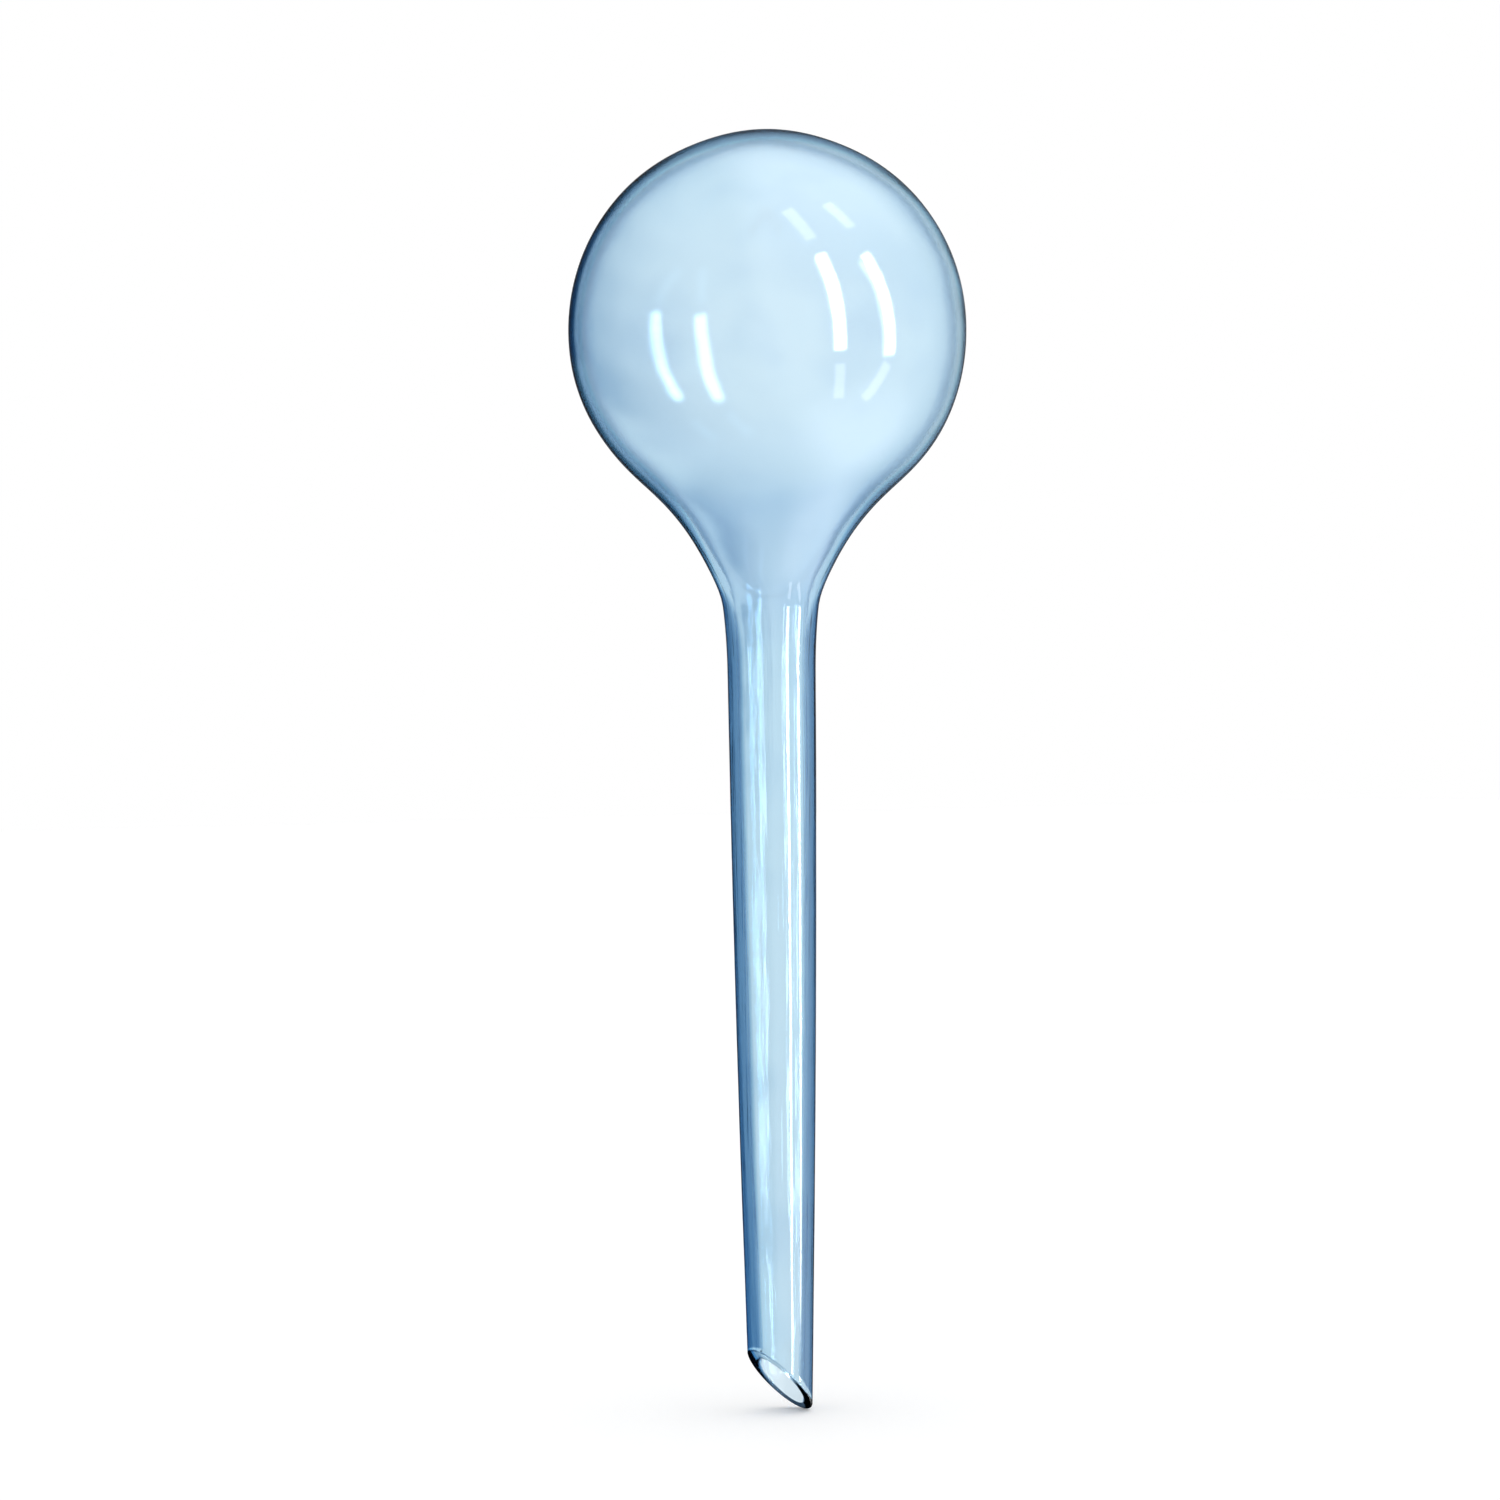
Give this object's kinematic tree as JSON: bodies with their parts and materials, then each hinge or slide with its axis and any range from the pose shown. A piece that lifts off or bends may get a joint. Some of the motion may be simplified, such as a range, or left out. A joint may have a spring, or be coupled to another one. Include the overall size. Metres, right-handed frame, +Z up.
{
  "type": "watering globe",
  "caption": "Clear plastic self-watering globe: hollow round bulb, flared neck and long tapering hollow stem, open at a slanting tip that pushes into potting soil.",
  "frame": {"origin": "on the stem's axis, level with the lowest point of the slanting tip", "axes": "+Z up the stem's axis through the middle of the bulb, +X towards the long side of the slanting tip"},
  "size_m": [0.0762, 0.0762, 0.245],
  "materials": {
    "clear_wall": "clear, pale blue, glossy"
  },
  "bodies": {
    "root": {"globe_shell": "clear_wall"}
  },
  "joints": []
}
